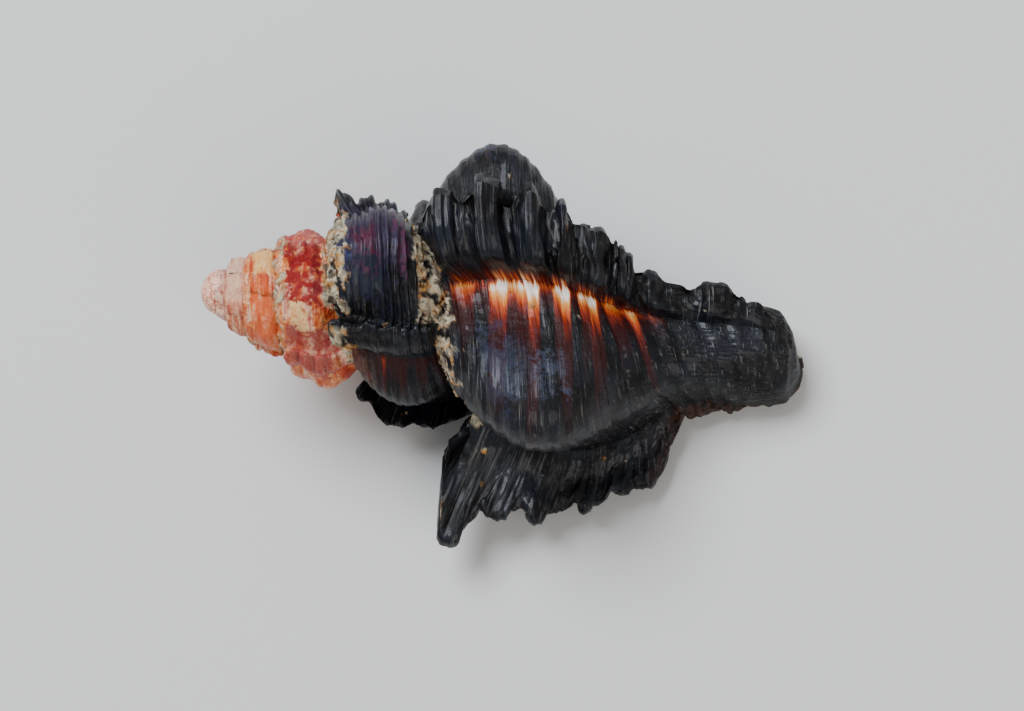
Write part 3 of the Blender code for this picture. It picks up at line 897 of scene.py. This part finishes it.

# Colour zones, a few of them painted blue sky sheen: from angle, to angle, soft by, from along, to along,
# soft by, how much, colour.
zones = (
    (-412.0, -358.0, 8.0, 36.0, 52.0, 2.0, 0.95, tint(49, 40, 60)),
    (-378.0, -362.0, 4.0, 40.0, 45.0, 1.5, 0.85, tint(78, 18, 42)),
    # painted blue sky sheen on one side of a swell of the last whorl
    (-80.0, -52.0, 6.0, 39.0, 46.0, 2.0, 0.8, tint(34, 40, 62)),
    (-384.0, -362.0, 5.0, 50.0, 52.0, 0.7, 0.6, tint(92, 34, 64)),
    (-380.0, -364.0, 5.0, 36.5, 38.5, 0.6, 0.85, tint(26, 38, 82)),
    # painted blue sky sheen on the lower part of the purple whorl
    (-358.0, -342.0, 5.0, 38.0, 49.0, 2.0, 0.7, tint(30, 35, 52)),
    # painted blue sky sheen on the main knob, paler at its middle
    (28.0, 49.0, 6.0, 40.5, 46.0, 1.5, 0.6, tint(44, 49, 68)),
    (34.0, 41.0, 3.0, 47.0, 51.5, 1.0, 0.6, tint(60, 66, 84)),
    (-300.0, -270.0, 8.0, 34.0, 41.0, 1.5, 0.7, tint(96, 50, 32)),
    (-752.0, -692.0, 7.0, 38.5, 53.5, 1.2, 1.0, tint(138, 24, 24)),
    (-745.0, -700.0, 6.0, 49.5, 52.5, 0.8, 0.6, tint(84, 14, 20)),
    (-697.0, -680.0, 4.0, 40.0, 47.0, 1.5, 0.9, tint(232, 190, 128)),
    (-680.0, -620.0, 6.0, 38.0, 56.0, 2.0, 0.85, tint(156, 54, 56)),
    (-670.0, -652.0, 4.0, 46.0, 48.5, 0.8, 0.8, tint(226, 174, 146)),
    (-800.0, -756.0, 8.0, 36.0, 56.0, 2.0, 0.85, tint(164, 46, 52)),
    (-1075.0, -990.0, 12.0, 40.0, 56.0, 2.0, 0.75, tint(216, 96, 50)),
    (-1130.0, -1085.0, 10.0, 40.0, 56.0, 2.0, 0.75, tint(240, 184, 104)),
    (-1500.0, -1400.0, 20.0, 36.0, 56.0, 2.0, 0.5, tint(240, 200, 170)),
    (107.0, 122.0, 3.0, 60.0, 78.0, 2.0, 0.5, tint(78, 48, 34)),
)


# Sizes of the patterns, in repeats a metre, and the gloss.
finish = {
    "patchScale": 170.0,
    "cloudScale": 520.0,
    "spotScale": 640.0,
    "veinScale": 780.0,
    "fleckScale": 1300.0,
    "grainScale": 2600.0,
    "rough": 0.24,
    "crustRough": 0.85,
    "coat": 0.2,
    "coatRough": 0.08,
    "specular": 0.17,
    "lineStrength": 0.62,
    "bump": 0.6,
    "depth": 0.00035,
}

glaze = {
    "deep": tint(238, 230, 220),
    "peach": tint(226, 178, 146),
    "rim": tint(86, 52, 42),
    "peachFrom": (60.0, 118.0),
    "rimFrom": (112.0, 124.0),
    "rough": 0.16,
    "coat": 0.4,
    "bump": 0.2,
    "depth": 0.0002,
}


def materialWires(material):
    material.use_nodes = True
    tree = material.node_tree
    net = Wire(tree)
    place = net.add("ShaderNodeAttribute", {"attribute_name": "place"}, None, 1)
    objectPlace = net.add("ShaderNodeTexCoord", None, None, 3)
    return tree.nodes["Principled BSDF"], net, place, objectPlace


def mixed(net, factor, a, b):
    return net.add("ShaderNodeMix", {"data_type": "RGBA"}, {0: factor, 6: a, 7: b}, 2)


def ramp(net, value, stops):
    return net.add("ShaderNodeValToRGB", {"stops": stops}, {"Fac": value})


def flameColour(net, angle, along, streak, thread):
    # how far each place is along its flame, and the colour and cover there
    older = net.math("FLOORED_MODULO", angle - paint["flameNext"], spiral["varixStep"])
    newest = angle > paint["flameStart"] - 10.0
    since = older + (angle - paint["flameStart"] - older) * newest
    along = along + since * smooth(along, 60.0, 54.0) * paint["flameSlant"]
    span = paint["flameTo"] - paint["flameFrom"]
    points = [((place - paint["flameFrom"]) / span, degrees / paint["flameMost"])
              for place, degrees in paint["flames"]]
    length = net.add("ShaderNodeFloatCurve", {"points": points},
                     {"Value": (along - paint["flameFrom"]) / span}) * paint["flameMost"]
    white = within(along, *paint["flameWhite"])
    length = length * paint["flameVary"] + paint["flameEven"]
    how = (since + paint["flameLead"]) / (length * (0.35 + streak * 0.6 + thread * 0.7)) + (1.0 - white) * 0.2
    ragged = since + (streak - 0.5) * 12.0 + (thread - 0.5) * 9.0
    how = how + smooth(ragged, *paint["flameFringe"]) * 0.75
    how = how + (1.0 - newest) * (0.75 - white * within(along, 44.2, 45.2, 0.5) * 0.4)
    colour = ramp(net, how, [(place, paint[name][:3]) for place, name in paint["flameStops"]])
    cover = smooth(how, *paint["flameEnd"]) * smooth(since, -4.5, -0.5) * smooth(angle, *paint["flameLast"])
    return colour, cover * within(along, *paint["flameReach"])


def darkShellMaterial(material):
    shader, net, place, objectPlace = materialWires(material)
    form = net.add("ShaderNodeAttribute", {"attribute_name": "form"}, None, 1)
    crusty = net.add("ShaderNodeAttribute", {"attribute_name": "crust"}, None, 2)
    angle, along, stands = parts(net, place)
    lobe, cord, number = parts(net, form)
    patchy = noise(net, objectPlace, finish["patchScale"], 3.0)
    cloudy = noise(net, objectPlace, finish["cloudScale"], 3.0, 0.6)
    grainy = noise(net, objectPlace, finish["grainScale"], 3.0, 0.6)
    # thin streaks that follow the growth, and the lines across them
    streak = noise(net, vector(net, along * 2.1, angle * 0.02, number), 1.0, 2.0, 0.6)
    thread = noise(net, vector(net, along * 5.5, angle * 0.07, 7.0), 1.0, 3.0, 0.6)
    across = noise(net, vector(net, along * 0.8, angle * 0.34, 3.0), 1.0, 4.0, 0.65)

    # the dark blue patches are painted blue sky sheen
    colour = mixed(net, smooth(patchy, 0.42, 0.62), paint["black"], paint["blueSheenBlack"])
    colour = mixed(net, smooth(cloudy, 0.55, 0.75) * 0.6, colour, paint["brownBlack"])
    flame, cover = flameColour(net, angle, along + (streak - 0.5) * 0.5, streak, thread)
    cover = cover * smooth(stands, 0.34, 0.06)
    colour = mixed(net, cover, colour, flame)

    # the spire's own colours
    bands = noise(net, vector(net, along * 0.22, angle * 0.022, 11.0), 1.0, 4.0, 0.6)
    spire = ramp(net, bands, (
        (0.30, tint(160, 44, 38)[:3]), (0.42, tint(204, 80, 38)[:3]), (0.50, tint(230, 146, 74)[:3]),
        (0.58, tint(236, 192, 158)[:3]), (0.68, tint(180, 70, 66)[:3])))
    spire = mixed(net, smooth(angle, -1250.0, -1700.0) * smooth(bands, 0.62, 0.44), spire, paint["pinkWhite"])
    vein = noise(net, objectPlace, finish["veinScale"], 4.0, 0.6)
    fleck = noise(net, objectPlace, finish["fleckScale"], 4.0, 0.65)
    spire = mixed(net, smooth(magnitude(vein - 0.5), 0.045, 0.01) * 0.7, spire, paint["vein"])
    spire = mixed(net, smooth(vein, 0.58, 0.70) * 0.35, spire, paint["pinkWhite"])
    colour = mixed(net, smooth(angle + (cloudy - 0.5) * 60.0, *paint["spireFrom"]), colour, spire)
    angleNear = angle + (cloudy - 0.5) * 40.0 + (patchy - 0.5) * 16.0 + (fleck - 0.5) * 40.0
    alongNear = along + (cloudy - 0.5) * 5.0 + (fleck - 0.5) * 9.0
    uneven = smooth(vein, 0.32, 0.52) * 0.55 + 0.45
    for low, high, soft, first, last, softAlong, much, zoneColour in zones:
        there = within(angleNear, low, high, soft) * within(alongNear, first, last, softAlong)
        colour = mixed(net, there * uneven * much, colour, zoneColour)

    # pale broken lines on the cords, partly painted highlights on the cord crests and partly pale deposit,
    # and darker gaps, partly painted shade in the grooves between the fronds
    dark = smooth(angle, -470.0, -400.0) * (1.0 - cover)
    lines = smooth(cord, 0.7, 0.98) * smooth(across, 0.52, 0.66) * 0.4 + smooth(thread, 0.59, 0.68) * 0.8
    glintAndDepositLines = clip(lines * dark * smooth(cloudy, 0.30, 0.62)) * finish["lineStrength"]
    colour = mixed(net, glintAndDepositLines, colour, paint["ridgeGlintAndDeposit"])
    # the thread term gives dark streaks; the lobe term is painted shade in the grooves between the fronds of
    # the standing fins
    darkThreadsAndGrooveShade = smooth(thread, 0.42, 0.30) * 0.45 + smooth(lobe, 0.5, 0.1) * stands * 0.6
    colour = mixed(net, clip(darkThreadsAndGrooveShade), colour, paint["black"])

    # crust: pale and ochre, with dark pores
    spots = noise(net, objectPlace, finish["spotScale"], 3.0, 0.55)
    chalk = mixed(net, smooth(spots, 0.46, 0.62), paint["crustPale"], paint["crustOchre"])
    chalk = mixed(net, smooth(cloudy, 0.50, 0.40) * 0.7, chalk, paint["crustGrey"])
    pores = larger(smooth(grainy, 0.42, 0.34) * 0.6, smooth(spots, 0.42, 0.33))
    chalk = mixed(net, pores * 0.85, chalk, paint["pore"])
    colour = mixed(net, crusty, colour, chalk)
    net.put(shader.inputs["Base Color"], colour)

    rough = finish["rough"] + cloudy * 0.2 + smooth(thread, 0.5, 0.7) * 0.14
    net.put(shader.inputs["Roughness"], rough + crusty * (finish["crustRough"] - rough))
    coat = clip(smooth(patchy, 0.35, 0.6) * finish["coat"] * (1.0 - crusty))
    net.put(shader.inputs["Coat Weight"], coat)
    shader.inputs["Coat Roughness"].default_value = finish["coatRough"]
    shader.inputs["Specular IOR Level"].default_value = finish["specular"]
    height = thread * 0.8 + across * 0.45 + cloudy * 0.8 + grainy * (0.2 + crusty * 2.2)
    bump = net.add("ShaderNodeBump", None,
                   {"Height": height, "Strength": finish["bump"], "Distance": finish["depth"]})
    net.put(shader.inputs["Normal"], bump)


def glazeMaterial(material):
    # the aperture's porcelain, whitest deep inside and peach near the lip
    shader, net, place, objectPlace = materialWires(material)
    angle = parts(net, place)[0]
    cloudy = noise(net, objectPlace, 260.0, 3.0)
    grainy = noise(net, objectPlace, 1800.0, 3.0)
    near = smooth(angle + (cloudy - 0.5) * 60.0, *glaze["peachFrom"])
    colour = mixed(net, near, glaze["deep"], glaze["peach"])
    rim = smooth(angle + (cloudy - 0.5) * 30.0, *glaze["rimFrom"]) * 0.8
    colour = mixed(net, rim, colour, glaze["rim"])
    net.put(shader.inputs["Base Color"], colour)
    net.put(shader.inputs["Roughness"], glaze["rough"] + cloudy * 0.12)
    shader.inputs["Coat Weight"].default_value = glaze["coat"]
    shader.inputs["Coat Roughness"].default_value = finish["coatRough"]
    bump = net.add("ShaderNodeBump", None,
                   {"Height": cloudy + grainy * 0.2, "Strength": glaze["bump"], "Distance": glaze["depth"]})
    net.put(shader.inputs["Normal"], bump)


darkShellMaterial(outside)
glazeMaterial(inside)
print("materials ready")

# Floor, light and camera. The camera looks across the shell's axis, a little from its lip's side.
stage = {
    "floorSize": 1.2,
    "floorColour": (0.60, 0.585, 0.56, 1),
    "aroundAxis": 22.0,
    "tilt": 6.0,
    "aim": 39.6,
    "aimDown": 4.07,
    "distance": 300.0,
    "width": 128.0,
    "skyColour": (0.92, 0.95, 1.0, 1),
    "skyStrength": 0.45,
}


def addFloor():
    data = bpy.data.meshes.new("floor")
    half = stage["floorSize"] / 2.0
    corners = [(-half, -half, 0), (half, -half, 0), (half, half, 0), (-half, half, 0)]
    data.from_pydata(corners, [], [(0, 1, 2, 3)])
    floor = bpy.data.objects.new("floor", data)
    bpy.context.scene.collection.objects.link(floor)
    material = bpy.data.materials.new("paleFloor")
    material.use_nodes = True
    shader = material.node_tree.nodes["Principled BSDF"]
    shader.inputs["Base Color"].default_value = stage["floorColour"]
    shader.inputs["Roughness"].default_value = 0.85
    data.materials.append(material)


def addCamera():
    turn = math.radians(stage["aroundAxis"])
    tilt = math.radians(stage["tilt"])
    towards = Vector((0, -math.sin(turn), math.cos(turn)))
    across = Vector((0, -math.cos(turn), -math.sin(turn)))
    axis = Vector((1, 0, 0))
    down = math.cos(tilt) * across + math.sin(tilt) * axis
    right = math.cos(tilt) * axis - math.sin(tilt) * across
    aim = stage["aim"] * axis + stage["aimDown"] * across
    at = (aim + stage["distance"] * towards) * mm
    frameOf = Matrix((right, -down, towards)).transposed().to_4x4()
    frameOf.translation = at
    data = bpy.data.cameras.new("camera")
    data.sensor_width = 36.0
    data.lens = 36.0 * stage["distance"] / stage["width"]
    data.clip_start = 0.01
    camera = bpy.data.objects.new("camera", data)
    camera.matrix_world = layDown @ frameOf
    bpy.context.scene.collection.objects.link(camera)
    bpy.context.scene.camera = camera


lights = {
    "sky": {"at": (-0.25, 0.30, 0.75), "size": 0.55, "power": 11.0, "colour": (0.86, 0.92, 1.0)},
    "fill": {"at": (0.45, -0.45, 0.55), "size": 0.6, "power": 3.0, "colour": (1.0, 0.97, 0.93)},
}


def addLights():
    for name, facts in lights.items():
        data = bpy.data.lights.new(name, "AREA")
        data.shape = "DISK"
        data.size = facts["size"]
        data.energy = facts["power"]
        data.color = facts["colour"]
        light = bpy.data.objects.new(name, data)
        at = Vector(facts["at"])
        light.matrix_world = Matrix.Translation(at) @ at.to_track_quat("Z", "Y").to_matrix().to_4x4()
        bpy.context.scene.collection.objects.link(light)
    world = bpy.data.worlds.new("studio")
    bpy.context.scene.world = world
    world.use_nodes = True
    background = world.node_tree.nodes["Background"]
    background.inputs["Color"].default_value = stage["skyColour"]
    background.inputs["Strength"].default_value = stage["skyStrength"]


addFloor()
addCamera()
addLights()
bpy.context.view_layer.update()
print("floor, camera and light ready")
